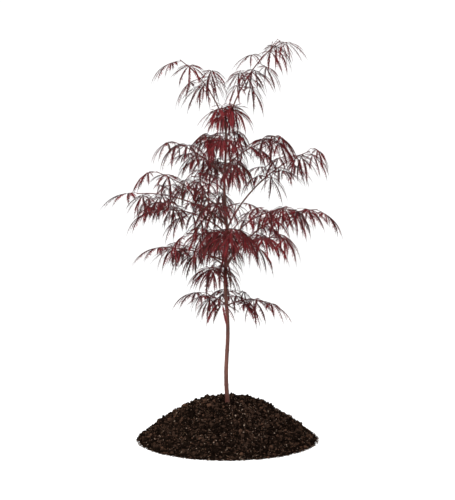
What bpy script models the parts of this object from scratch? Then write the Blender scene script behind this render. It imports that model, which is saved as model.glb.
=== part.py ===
"""A young laceleaf maple standing in its mound of soil.

A slender stem carries bare boughs, and each bough ends in a leafy shoot. Leaves sit in opposite pairs
on long stalks, and each leaf is a hub with seven narrow lobes that arch over and hang, like a fountain.

Metres, +Z up. The origin is the middle of the mound's flat underside. A heading is a compass angle in
degrees seen from above: 0 is +X, 90 is +Y. A rise is an angle in degrees above the horizontal.
"""

import math
import random
from collections import namedtuple

import bmesh
import bpy
import numpy as np
from mathutils import Vector, noise
from mathutils.bvhtree import BVHTree

NAME = "laceleaf_maple"
UP = Vector((0, 0, 1))
GAP = 0.0003
WELD = 0.00001

# Mound of soil
MOUND_RADIUS = 0.266
MOUND_HEIGHT = 0.140
MOUND_POWER = 1.5
PLANTING_DIP = 0.044
DIP_RADIUS = 0.040
PAD_RADIUS = 0.013
MOUND_RINGS = 10
MOUND_SIDES = 32
LUMP_HEIGHT = 0.006
LUMP_SIZE = 0.024

# Stem
SOIL_LEVEL = MOUND_HEIGHT - PLANTING_DIP
TRUNK_TOP = 0.955
TRUNK_RADIUS = 0.0068
TRUNK_TIP_RADIUS = 0.0030
FLARE = 0.0026
FLARE_HEIGHT = 0.012
LEAN = -0.008
SWAY = 0.0032
SWAY_WAVES = 3
SWAY_START = 0.19
TRUNK_STEPS = 16

# Boughs and leafy shoots
LIMB_STEP = 0.036
LEAD = 0.004
SHOOT_TIP_RADIUS = 0.0013
FIRST_NODE = 0.010
FIRST_NODE_AT_TRUNK = 0.020
LAST_NODE = 0.003

# Leaves
LEAF_LENGTH = 0.106
STALK_LENGTH = 0.032
STALK_RADIUS = 0.0007
STALK_CLEAR = 0.7
LOBES = ((-105, 0.50), (-70, 0.76), (-35, 0.93), (0, 1.0), (35, 0.93), (70, 0.76), (105, 0.50))
LOBE_WIDEST = 0.42
LOBE_HALF_WIDTH = 0.0080
LOBE_RIDGE = 0.0016
LOBE_LIFT = 2
LOBE_CURL = -62
HUB_HALF = 0.0013
NOTCH_RADIUS = 0.0042
BACK_NOTCH = 153
STEEPEST = -88
GUARD = 0.001
SPACE_DROP = 0.030
SPACE_LAP = 0.040
TRIES = 20

# How far round from its shoot a leaf's stalk turns, and how steeply it rises, as (least, most)
SIDEWAYS = ((45, 80), (-10, 18))
BACKWARD = ((140, 220), (10, 45))
FORWARD = ((-30, 30), (-30, 5))
SHOOT_RISE_KEPT = 0.3
STALK_VARIES = (0.6, 1.15)
BLADE_TURN = 20
TILT = (6, 46)
SIZE_VARIES = (0.88, 1.08)
# How much further a leaf may stray, in its last try to find room
STRAY_TURN = 60
STRAY_RISE = 35
STRAY_SHRINK = 0.25
LOWEST_STALK = -40
STALK_ABOVE_BLADE = 10

# One row for each branch: the height of its foot on the stem, or None at the stem's tip; its heading and
# rise there; how far it curls up and swerves round over its whole length; the lengths of its bare bough
# and of its leafy shoot; the radius of its foot; the leaf pairs on the shoot; leaf size; seed.
Branch = namedtuple("Branch", "name height heading rise curl swerve bare leafy radius pairs size seed")
BRANCHES = (
    Branch("top_left", 0.927, 192, 78, -44, 0, 0.124, 0.126, 0.0022, 3, 1.0, 11),
    Branch("top_right", 0.922, 8, 79, -40, 4, 0.131, 0.194, 0.0024, 4, 1.0, 19),
    Branch("crown_cap", None, -90, 86, 0, 0, 0.0, 0.034, 0.0026, 2, 1.05, 13),
    Branch("crown_front", 0.868, -95, 40, -30, 0, 0.0, 0.060, 0.0020, 2, 1.0, 30),
    Branch("crown_back", 0.880, 85, 40, -25, 0, 0.035, 0.075, 0.0022, 2, 1.0, 16),
    Branch("crown_left", 0.878, 185, 30, -30, 0, 0.0, 0.055, 0.0020, 2, 1.0, 29),
    Branch("crown_right", 0.862, 6, 34, -30, 0, 0.0, 0.060, 0.0020, 2, 1.0, 10),
    Branch("upper_right", 0.816, -30, 46, -34, 40, 0.070, 0.095, 0.0024, 3, 1.0, 17),
    Branch("upper_left", 0.794, 160, 44, -22, 15, 0.060, 0.122, 0.0025, 3, 1.0, 13),
    Branch("upper_left_front", 0.745, 225, 42, -42, -30, 0.035, 0.085, 0.0022, 3, 1.0, 20),
    Branch("upper_front", 0.795, -70, 40, -35, 0, 0.0, 0.085, 0.0020, 2, 1.0, 14),
    Branch("upper_back", 0.770, 95, 36, -25, 0, 0.080, 0.100, 0.0025, 2, 1.0, 18),
    Branch("far_right", 0.633, 19, 64, -44, -8, 0.190, 0.168, 0.0030, 4, 1.0, 22),
    Branch("middle_right", 0.690, -15, 50, -50, 0, 0.0, 0.050, 0.0016, 1, 0.8, 17),
    Branch("middle_left_high", 0.684, 152, 34, -12, 10, 0.135, 0.125, 0.0026, 3, 1.0, 17),
    Branch("middle_left_outer", 0.645, 172, 42, -46, 0, 0.174, 0.120, 0.0030, 4, 1.0, 25),
    Branch("middle_left_inner", 0.616, 208, 44, -52, -22, 0.070, 0.165, 0.0026, 3, 1.0, 11),
    Branch("middle_front", 0.645, 250, 40, -36, 10, 0.050, 0.120, 0.0024, 3, 1.0, 29),
    Branch("middle_back", 0.664, 104, 34, -26, 0, 0.110, 0.115, 0.0027, 2, 1.0, 27),
    Branch("lower_left_outer", 0.535, 180, 24, -22, 0, 0.070, 0.120, 0.0028, 3, 1.0, 28),
    Branch("lower_left_front", 0.575, 222, 38, -40, -15, 0.040, 0.110, 0.0024, 3, 1.0, 12),
    Branch("lower_front", 0.565, -88, 36, -40, 0, 0.050, 0.140, 0.0026, 3, 1.0, 14),
    Branch("lower_right_inner", 0.585, -28, 56, -54, 10, 0.075, 0.150, 0.0025, 3, 1.0, 34),
    Branch("lower_right_outer", 0.515, 12, 62, -62, 4, 0.118, 0.235, 0.0032, 5, 1.0, 32),
    Branch("lower_back", 0.510, 95, 32, -30, 0, 0.090, 0.150, 0.0028, 2, 1.0, 33),
    Branch("lower_back_left", 0.520, 140, 30, -25, 0, 0.080, 0.120, 0.0026, 2, 1.0, 34),
    Branch("lower_back_right", 0.548, 58, 34, -30, 0, 0.080, 0.110, 0.0026, 2, 1.0, 38),
    Branch("low_front_left", 0.492, 238, 36, -30, 0, 0.0, 0.085, 0.0022, 1, 1.0, 43),
    Branch("low_front_right", 0.528, -40, 50, -52, 16, 0.095, 0.110, 0.0024, 2, 1.0, 44),
    Branch("bottom_left", 0.408, 183, 26, 6, 0, 0.028, 0.040, 0.0018, 1, 0.95, 36),
    Branch("bottom_right", 0.402, -18, 30, -46, 8, 0.025, 0.092, 0.0022, 2, 0.95, 16),
    Branch("bottom_front", 0.398, -105, 30, -20, 0, 0.0, 0.045, 0.0016, 1, 0.9, 27),
    Branch("bottom_back", 0.405, 88, 26, -20, 0, 0.040, 0.070, 0.0020, 1, 0.95, 40),
)

Leaf = namedtuple("Leaf", "node hub heading size tilt")

BARK = ("bark", (0.150, 0.060, 0.050), 0.75)
FOLIAGE = ("foliage", (0.105, 0.018, 0.026), 0.55)
SOIL = ("soil", (0.028, 0.017, 0.012), 0.95)


# ---------------------------------------------------------------- the rule that the tree grows by


def direction(heading, rise):
    """The unit vector at that heading and rise, in degrees."""
    turn, lift = math.radians(heading), math.radians(rise)
    return Vector((math.cos(turn) * math.cos(lift), math.sin(turn) * math.cos(lift), math.sin(lift)))


def walk(start, heading, rise, length, curl, swerve=0.0, steps=2):
    """Points along an arc that leaves start at that heading and rise, and turns by swerve and curl."""
    points = [Vector(start)]
    for step in range(steps):
        share = (step + 0.5) / steps
        ahead = direction(heading + swerve * share, rise + curl * share)
        points.append(points[-1] + ahead * (length / steps))
    return points


def trunk_point(height):
    """The middle of the stem at that height above the mound's underside."""
    share = (height - SOIL_LEVEL) / (TRUNK_TOP - SOIL_LEVEL)
    wave = math.tau * SWAY_WAVES * (share - SWAY_START)
    return Vector((LEAN * share + SWAY * math.sin(wave), SWAY * math.cos(wave), height))


def trunk_radius(height):
    """The stem's radius at that height, with the root flare at its foot."""
    share = (height - SOIL_LEVEL) / (TRUNK_TOP - SOIL_LEVEL)
    flare = FLARE * math.exp(-(height - SOIL_LEVEL) / FLARE_HEIGHT)
    return TRUNK_RADIUS + (TRUNK_TIP_RADIUS - TRUNK_RADIUS) * share + flare


def trunk_path():
    """Points up the middle of the stem, closer together in the root flare."""
    flare = [SOIL_LEVEL + FLARE_HEIGHT * share for share in (0, 0.5, 1.2, 2.4)]
    first = flare[-1]
    rest = [first + (TRUNK_TOP - first) * step / TRUNK_STEPS for step in range(1, TRUNK_STEPS + 1)]
    return [trunk_point(height) for height in flare + rest]


def crowns_a_limb(branch):
    """True if a branch's shoot starts at a limb's tip, and not on the side of the stem."""
    return branch.bare > 0 or branch.height is None


def limb_paths(branch):
    """The middle lines of a branch's bare bough, or None, and of its leafy shoot.

    A shoot at a limb's tip starts a gap beyond it, and leads straight on for a little before it bends.
    """
    foot = trunk_point(TRUNK_TOP if branch.height is None else branch.height)
    share = branch.bare / (branch.bare + branch.leafy)
    curl, swerve = branch.curl * share, branch.swerve * share
    heading, rise = branch.heading + swerve, branch.rise + curl
    bough, lead, ahead = None, [], direction(heading, rise)
    if branch.bare:
        steps = max(2, round(branch.bare / LIMB_STEP))
        bough = walk(foot, branch.heading, branch.rise, branch.bare, curl, swerve, steps)
        foot = bough[-1]
        ahead = (foot - bough[-2]).normalized()
    if crowns_a_limb(branch):
        lead = [foot + ahead * GAP]
        foot = foot + ahead * LEAD
    steps = max(2, round(branch.leafy / LIMB_STEP))
    shoot = walk(foot, heading, rise, branch.leafy, branch.curl - curl, branch.swerve - swerve, steps)
    return bough, lead + shoot


def limb_radii(branch):
    """The radii at a branch's foot, where its bough ends, and at its shoot's tip."""
    share = branch.bare / (branch.bare + branch.leafy)
    middle = branch.radius + (SHOOT_TIP_RADIUS - branch.radius) * share
    return branch.radius, middle, SHOOT_TIP_RADIUS


def along(path, distance):
    """The point that far along a path, and its heading and rise there."""
    for near, far in zip(path, path[1:]):
        step = far - near
        if distance < step.length:
            break
        distance -= step.length
    point = near + step.normalized() * min(distance, step.length)
    heading = math.degrees(math.atan2(step.y, step.x))
    rise = math.degrees(math.atan2(step.z, math.hypot(step.x, step.y)))
    return point, heading, rise


def blade_axes(leaf):
    """Unit vectors ahead along a leaf, to its left, and square to the plane that its lobes spread in."""
    ahead = direction(leaf.heading, -leaf.tilt)
    left = direction(leaf.heading + 90, 0)
    return ahead, left, ahead.cross(left)


def outward(leaf, angle):
    """The unit vector in the plane of a leaf, at that many degrees to the left of straight ahead."""
    ahead, left, _ = blade_axes(leaf)
    return ahead * math.cos(math.radians(angle)) + left * math.sin(math.radians(angle))


def lobe_path(leaf, angle, share, steps=2):
    """The middle line of one lobe: it arches out from the hub and over, and hangs at its tip."""
    out = outward(leaf, angle)
    rise = math.degrees(math.asin(out.z)) + LOBE_LIFT
    curl = max(LOBE_CURL, STEEPEST - rise)
    heading = math.degrees(math.atan2(out.y, out.x))
    return walk(leaf.hub, heading, rise, LEAF_LENGTH * leaf.size * share, curl, 0, steps)


def add_lobe(points, faces, lobe, path, side, rise):
    """One lobe of a leaf, between the two notches beside it: a long kite with a raised rib."""
    onward = (path[2] - path[0]).normalized()
    widest = path[0].lerp(path[1], 2 * LOBE_WIDEST)
    before, after, near = lobe + 2, lobe + 3, len(points)
    tip, far, rib = near + 1, near + 2, near + 3
    points += [widest - side, path[2] + onward * (rise - LOBE_RIDGE), widest + side]
    points.append(widest + onward.cross(side.normalized()) * rise)
    faces += [
        (0, before, rib), (before, near, rib), (near, tip, rib), (tip, far, rib), (far, after, rib),
        (after, 0, rib), (1, near, before), (1, far, near), (1, after, far), (near, far, tip),
    ]


def add_stalk(points, faces, leaf, reach, radius):
    """A three-sided stalk that runs that share of the way from the hub's underside to the leaf's node."""
    foot, last = len(points), 2 + len(LOBES)
    run = leaf.node - leaf.hub
    down = run.cross(blade_axes(leaf)[1]).normalized()
    across = down.cross(run).normalized() * math.sqrt(0.75)
    for way in (down, -across - down / 2, across - down / 2):
        points.append(leaf.hub + run * reach + way * radius)
    ring = (1, 2, last)
    faces += [(0, last, 2), (foot, foot + 1, foot + 2)]
    faces += [(ring[k - 1], ring[k], foot + k, foot + (k - 1) % 3) for k in range(3)]


def leaf_shape(leaf, guard=0.0, reach=1.0):
    """A leaf's points and faces: a small hub with a ring of notches, its lobes, and its stalk.

    Guard is how much larger it is made all over, to test whether it has room.
    """
    normal = blade_axes(leaf)[2]
    points = [leaf.hub + normal * (HUB_HALF + guard), leaf.hub - normal * (HUB_HALF + guard)]
    faces = []
    angles = [angle for angle, share in LOBES]
    notches = [-BACK_NOTCH] + [(a + b) / 2 for a, b in zip(angles, angles[1:])] + [BACK_NOTCH]
    points += [leaf.hub + outward(leaf, angle) * (NOTCH_RADIUS + guard) for angle in notches]
    for lobe, (angle, share) in enumerate(LOBES):
        path = lobe_path(leaf, angle, share)
        half_width = LOBE_HALF_WIDTH * leaf.size * (0.6 + 0.4 * share) + guard
        side = normal.cross(path[2] - path[0]).normalized() * half_width
        add_lobe(points, faces, lobe, path, side, LOBE_RIDGE + guard)
    add_stalk(points, faces, leaf, reach, STALK_RADIUS + guard)
    return points, faces


def rod_shape(path, radius):
    """The points and faces of a four-sided sleeve along a path, for testing what lies too near it."""
    points, faces = [], []
    for index, place in enumerate(path):
        ahead = path[min(index + 1, len(path) - 1)] - path[max(index - 1, 0)]
        side = ahead.orthogonal().normalized()
        other = ahead.cross(side).normalized()
        points += [place + way * radius for way in (side, other, -side, -other)]
        if index:
            ring = 4 * index
            faces += [(ring + k, ring + (k + 1) % 4, ring - 4 + (k + 1) % 4, ring - 4 + k) for k in range(4)]
    return points, faces


class Room:
    """What stands where. A shoot's own space is what lies nearer to it than to any other, or nearly so."""

    def __init__(self):
        self.taken, owners, starts, ends = [], [], [], []
        self.take(rod_shape(trunk_path(), TRUNK_RADIUS + GUARD))
        for branch in BRANCHES:
            bough, shoot = limb_paths(branch)
            self.take(rod_shape(shoot, branch.radius + GUARD))
            if bough:
                self.take(rod_shape(bough, branch.radius + GUARD))
            line = [point - UP * SPACE_DROP for point in shoot]
            owners += [branch.name] * (len(line) - 1)
            starts += line[:-1]
            ends += line[1:]
        self.owners, self.starts = np.array(owners), np.array(starts)
        self.runs = np.array(ends) - self.starts

    def take(self, shape):
        self.taken.append(BVHTree.FromPolygons(*shape))

    def in_own_space(self, name, points):
        off = np.array(points)[:, None] - self.starts
        share = np.clip((off * self.runs).sum(2) / (self.runs**2).sum(1), 0, 1)
        far = np.linalg.norm(off - share[..., None] * self.runs, axis=2)
        own = far[:, self.owners == name].min(1) - SPACE_LAP
        return (far.min(1) > own).all()

    def is_free(self, shape):
        tree = BVHTree.FromPolygons(*shape)
        return not any(tree.overlap(other) for other in self.taken)

    def accepts(self, name, leaf):
        """True if a leaf keeps to its shoot's space and touches nothing, but for its stalk's foot."""
        tips = [point for lobe in LOBES for point in lobe_path(leaf, *lobe)[1:]]
        return self.in_own_space(name, tips) and self.is_free(leaf_shape(leaf, GUARD, STALK_CLEAR))


def draw_leaf(draw, branch, node, side, upright, loose):
    """One leaf of the pair at a node, on one side (1 or -1) of the shoot.

    An upright pair has one leaf that falls back over the shoot, and one that falls forward. The looser
    the rule, from 0 to 1, the further the leaf may stray.
    """
    place, heading, rise = node
    turns, rises = (BACKWARD if side > 0 else FORWARD) if upright else SIDEWAYS
    heading += draw.uniform(*turns) * (1 if upright else side)
    rise = draw.uniform(*rises) + (0 if upright else SHOOT_RISE_KEPT * rise)
    heading += draw.uniform(-1, 1) * STRAY_TURN * loose
    rise = max(rise + draw.uniform(-1, 1) * STRAY_RISE * loose, LOWEST_STALK)
    hub = place + direction(heading, rise) * STALK_LENGTH * draw.uniform(*STALK_VARIES)
    heading += draw.uniform(-BLADE_TURN, BLADE_TURN)
    tilt = max(draw.uniform(*TILT), STALK_ABOVE_BLADE - rise)
    size = branch.size * draw.uniform(*SIZE_VARIES) * (1 - STRAY_SHRINK * loose)
    return Leaf(place, hub, heading, size, tilt)


def place_leaf(room, draw, branch, leaves, node, side, upright):
    """Adds the first of a few drawn leaves that has room, if any does."""
    for attempt in range(TRIES):
        leaf = draw_leaf(draw, branch, node, side, upright, attempt / (TRIES - 1))
        if room.accepts(branch.name, leaf):
            room.take(leaf_shape(leaf, 0, STALK_CLEAR))
            leaves.append(leaf)
            return


def grow(room, branch):
    """The leaves of a shoot, from its tip inwards: one at the tip, then opposite pairs set crosswise."""
    draw = random.Random(branch.seed)
    shoot = limb_paths(branch)[1]
    first = FIRST_NODE if crowns_a_limb(branch) else FIRST_NODE_AT_TRUNK
    last = branch.leafy - LAST_NODE
    leaves = []
    place_leaf(room, draw, branch, leaves, along(shoot, last), -1, True)
    for pair in reversed(range(branch.pairs)):
        node = along(shoot, first + (last - first) * pair / branch.pairs)
        upright = (branch.pairs - pair) % 2 == 0
        for side in (1, -1):
            place_leaf(room, draw, branch, leaves, node, side, upright)
    return leaves


# ---------------------------------------------------------------- modelling helpers


def make_collection(name, hidden=False):
    collection = bpy.data.collections.new(name)
    collection.hide_render = hidden
    bpy.context.scene.collection.children.link(collection)
    return collection


def make_material(slot):
    name, colour, roughness = slot
    material = bpy.data.materials.new(name)
    material.use_nodes = True
    shader = material.node_tree.nodes["Principled BSDF"]
    shader.inputs["Base Color"].default_value = (*colour, 1)
    shader.inputs["Roughness"].default_value = roughness
    return material


def add_object(name, data, collection):
    made = bpy.data.objects.new(name, data)
    collection.objects.link(made)
    return made


def keep_evaluated(target):
    """Replaces a piece's mesh with what its modifiers make of it."""
    evaluated = target.evaluated_get(bpy.context.evaluated_depsgraph_get())
    mesh = bpy.data.meshes.new_from_object(evaluated)
    target.modifiers.clear()
    target.data = mesh


def weld_and_close(mesh):
    """Joins points that coincide, and turns every face outward."""
    bm = bmesh.new()
    bm.from_mesh(mesh)
    bmesh.ops.remove_doubles(bm, verts=bm.verts, dist=WELD)
    bmesh.ops.recalc_face_normals(bm, faces=bm.faces)
    if bm.calc_volume(signed=True) < 0:
        bmesh.ops.reverse_faces(bm, faces=bm.faces)
    bm.to_mesh(mesh)
    bm.free()


def tube(name, path, radii, resolution, collection):
    """A closed mesh tube of changing radius along a path, from a curve with filled caps."""
    curve = bpy.data.curves.new(name, "CURVE")
    curve.dimensions = "3D"
    curve.bevel_depth = 1.0
    curve.bevel_resolution = resolution
    curve.use_fill_caps = True
    spline = curve.splines.new("POLY")
    spline.points.add(len(path) - 1)
    for point, place, radius in zip(spline.points, path, radii):
        point.co = (*place, 1)
        point.radius = radius
    guide = add_object(name + "_curve", curve, collection)
    mesh = bpy.data.meshes.new_from_object(guide.evaluated_get(bpy.context.evaluated_depsgraph_get()))
    bpy.data.objects.remove(guide)
    weld_and_close(mesh)
    return add_object(name, mesh, collection)


def spread(first, last, count):
    """That many values, evenly spaced from first to last."""
    return [first + (last - first) * index / (count - 1) for index in range(count)]


def cut(target, cutter):
    """Cuts a piece back from a cutter."""
    modifier = target.modifiers.new("clear_of_stem", "BOOLEAN")
    modifier.operation = "DIFFERENCE"
    modifier.object = cutter
    keep_evaluated(target)


def take_body(unseen):
    """Takes one vertex and all that edges join to it out of the unseen ones."""
    body, reached = set(), [unseen.pop()]
    while reached:
        vertex = reached.pop()
        body.add(vertex)
        found = {edge.other_vert(vertex) for edge in vertex.link_edges} & unseen
        unseen -= found
        reached += found
    return body


def keep_largest_body(target):
    """Drops loose scraps, and hollows sealed inside, that a union may leave."""
    bm = bmesh.new()
    bm.from_mesh(target.data)
    unseen, bodies = set(bm.verts), []
    while unseen:
        bodies.append(take_body(unseen))
    bodies.sort(key=len)
    bmesh.ops.delete(bm, geom=[vertex for body in bodies[:-1] for vertex in body], context="VERTS")
    bm.to_mesh(target.data)
    bm.free()


# ---------------------------------------------------------------- pieces


def mound_level(radius):
    """The height of the mound's surface, before its lumps, that far from the middle."""
    fall = 1 - (radius / MOUND_RADIUS) ** MOUND_POWER
    dip = PLANTING_DIP * math.exp(-((max(radius - PAD_RADIUS, 0) / DIP_RADIUS) ** 2))
    return MOUND_HEIGHT * fall - dip


def make_mound(collection):
    """A heap of soil: a profile turned about the stem, with its surface raised and lowered in lumps."""
    radii = spread(PAD_RADIUS, MOUND_RADIUS, MOUND_RINGS + 1)
    profile = [(0, SOIL_LEVEL)] + [(radius, mound_level(radius)) for radius in radii] + [(0, 0)]
    points = [(radius, 0, height) for radius, height in profile]
    mesh = bpy.data.meshes.new("soil_mound")
    mesh.from_pydata(points, [(index - 1, index) for index in range(1, len(points))], [])
    mound = add_object("soil_mound", mesh, collection)
    screw = mound.modifiers.new("turn", "SCREW")
    screw.steps = screw.render_steps = MOUND_SIDES
    screw.use_merge_vertices = True
    screw.merge_threshold = 0.0001
    keep_evaluated(mound)
    for vertex in mound.data.vertices:
        if PAD_RADIUS + GAP < math.hypot(vertex.co.x, vertex.co.y) < MOUND_RADIUS - GAP:
            vertex.co.z += LUMP_HEIGHT * noise.noise(vertex.co / LUMP_SIZE)
    mound.data.shade_smooth()
    return mound


def make_trunk(name, grow_by, collection):
    """The stem, cut off flat where it stands on the soil."""
    path = trunk_path()
    radii = [trunk_radius(point.z) + grow_by for point in path]
    path[0].z += GAP
    trunk = tube(name, path, radii, 2, collection)
    first_ring = (path[0].z + path[1].z) / 2
    for vertex in trunk.data.vertices:
        if vertex.co.z < first_ring:
            vertex.co.z = path[0].z
    return trunk


def make_bough(branch, trunk_cutter, collection):
    """A bare limb, cut back from the stem that it grows on."""
    path = limb_paths(branch)[0]
    foot, end, _ = limb_radii(branch)
    bough = tube("bough_" + branch.name, path, spread(foot, end, len(path)), 1, collection)
    cut(bough, trunk_cutter)
    return bough


def make_leaf(leaf, collection):
    points, faces = leaf_shape(leaf)
    mesh = bpy.data.meshes.new("leaf")
    mesh.from_pydata(points, [], faces)
    weld_and_close(mesh)
    add_object("leaf", mesh, collection)


def make_mass(branch, room, trunk_cutter, collection):
    """One mass of foliage: a leafy shoot, with its stalks and leaves joined to it as one body."""
    path = limb_paths(branch)[1]
    _, start, end = limb_radii(branch)
    mass = tube("foliage_" + branch.name, path, spread(start, end, len(path)), 0, collection)
    if not crowns_a_limb(branch):
        cut(mass, trunk_cutter)
    leaves = make_collection("leaves_" + branch.name, hidden=True)
    for leaf in grow(room, branch):
        make_leaf(leaf, leaves)
    union = mass.modifiers.new("join", "BOOLEAN")
    union.operation = "UNION"
    union.solver = "EXACT"
    union.operand_type = "COLLECTION"
    union.collection = leaves
    keep_evaluated(mass)
    for piece in list(leaves.objects):
        bpy.data.objects.remove(piece)
    bpy.data.collections.remove(leaves)
    keep_largest_body(mass)
    return mass


def paint(piece, material):
    piece.data.materials.clear()
    piece.data.materials.append(material)


def main():
    for old in list(bpy.data.objects):
        bpy.data.objects.remove(old)
    tree = make_collection(NAME)
    cutters = make_collection("cutters", hidden=True)
    bark, foliage, soil = (make_material(slot) for slot in (BARK, FOLIAGE, SOIL))
    trunk_cutter = make_trunk("trunk_cutter", GAP, cutters)
    trunk_cutter.display_type = "WIRE"
    trunk_cutter.hide_render = True
    paint(make_mound(tree), soil)
    paint(make_trunk("trunk", 0, tree), bark)
    room = Room()
    for branch in BRANCHES:
        if branch.bare:
            paint(make_bough(branch, trunk_cutter, tree), bark)
        paint(make_mass(branch, room, trunk_cutter, tree), foliage)


main()
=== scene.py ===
"""How a young laceleaf maple looks, as it stands in its mound of soil.

The limbs and leaves grow here by the same rule as in the solids: the same rows and seeds give the same
boughs, shoots and leaves. Each leaf then gets its finely cut lobes, finer twigs bring smaller leaves into
each shoot's space, the stem and boughs get their bark, and the mound gets its clods and crumbs.

Metres, +Z up. The origin is the middle of the mound's flat underside. A heading is a compass angle in
degrees seen from above: 0 is +X, 90 is +Y. A rise is an angle in degrees above the horizontal.
"""

import math
import random
from collections import namedtuple
from itertools import combinations

import bpy
import numpy as np
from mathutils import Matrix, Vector, noise
from mathutils.bvhtree import BVHTree


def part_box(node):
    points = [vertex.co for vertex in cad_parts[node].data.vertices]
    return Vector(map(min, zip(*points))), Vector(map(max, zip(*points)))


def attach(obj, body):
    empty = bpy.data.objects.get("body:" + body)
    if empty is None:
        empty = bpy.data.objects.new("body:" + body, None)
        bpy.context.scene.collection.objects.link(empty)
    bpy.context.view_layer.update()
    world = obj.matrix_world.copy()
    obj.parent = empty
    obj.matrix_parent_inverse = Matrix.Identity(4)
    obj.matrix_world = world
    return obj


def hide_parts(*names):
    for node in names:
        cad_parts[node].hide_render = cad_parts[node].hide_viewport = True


UP = Vector((0, 0, 1))
GAP = 0.0003

# Mound of soil
MOUND_RADIUS = 0.266
MOUND_HEIGHT = 0.140
MOUND_POWER = 1.5
PLANTING_DIP = 0.044
DIP_RADIUS = 0.040
PAD_RADIUS = 0.013
LUMP_HEIGHT = 0.009
LUMP_SIZE = 0.024

# Stem
SOIL_LEVEL = MOUND_HEIGHT - PLANTING_DIP
TRUNK_TOP = 0.955
TRUNK_RADIUS = 0.0068
TRUNK_TIP_RADIUS = 0.0030
FLARE = 0.0026
FLARE_HEIGHT = 0.012
LEAN = -0.008
SWAY = 0.0032
SWAY_WAVES = 3
SWAY_START = 0.19
TRUNK_STEPS = 16
# The stem's lowest points, in heights of its root flare
FLARE_STEPS = (0, 0.5, 1.2, 2.4)

# Boughs and leafy shoots
LIMB_STEP = 0.036
LEAD = 0.004
SHOOT_TIP_RADIUS = 0.0013
FIRST_NODE = 0.010
FIRST_NODE_AT_TRUNK = 0.020
LAST_NODE = 0.003

# Leaves
LEAF_LENGTH = 0.106
STALK_LENGTH = 0.032
STALK_RADIUS = 0.0007
STALK_CLEAR = 0.7
LOBES = ((-105, 0.50), (-70, 0.76), (-35, 0.93), (0, 1.0), (35, 0.93), (70, 0.76), (105, 0.50))
LOBE_WIDEST = 0.42
LOBE_HALF_WIDTH = 0.0080
LOBE_RIDGE = 0.0016
LOBE_LIFT = 2
LOBE_CURL = -62
# The width of the shortest lobe or tooth, against the longest one's
LEAST_BREADTH = 0.6
HUB_HALF = 0.0013
NOTCH_RADIUS = 0.0042
BACK_NOTCH = 153
STEEPEST = -88
GUARD = 0.001
SPACE_DROP = 0.030
SPACE_LAP = 0.040
TRIES = 20

# How far round from its shoot a leaf's stalk turns, and how steeply it rises, as (least, most)
SIDEWAYS = ((45, 80), (-10, 18))
BACKWARD = ((140, 220), (10, 45))
FORWARD = ((-30, 30), (-30, 5))
SHOOT_RISE_KEPT = 0.3
STALK_VARIES = (0.6, 1.15)
BLADE_TURN = 20
TILT = (6, 46)
SIZE_VARIES = (0.88, 1.08)
# How much further a leaf may stray, in its last try to find room
STRAY_TURN = 60
STRAY_RISE = 35
STRAY_SHRINK = 0.25
LOWEST_STALK = -40
STALK_ABOVE_BLADE = 10

# How far apart the finer twigs are: where the sky shows between the leaves, elsewhere, within the crown,
# and where young leaves hang down the front of the stem
OPEN, EVEN, CLOSE, HANGING = 0.150, 0.040, 0.015, 0.005
# How often each of the first five tints below is dealt out
DARK = (0.46, 0.32, 0.12, 0.02, 0.08)
RED = (0.36, 0.14, 0.36, 0.11, 0.03)
BRIGHT = (0.16, 0.06, 0.34, 0.44, 0.00)
SHADED = (0.36, 0.30, 0.08, 0.01, 0.25)
PLUM = (0.42, 0.46, 0.08, 0.00, 0.04)

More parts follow.
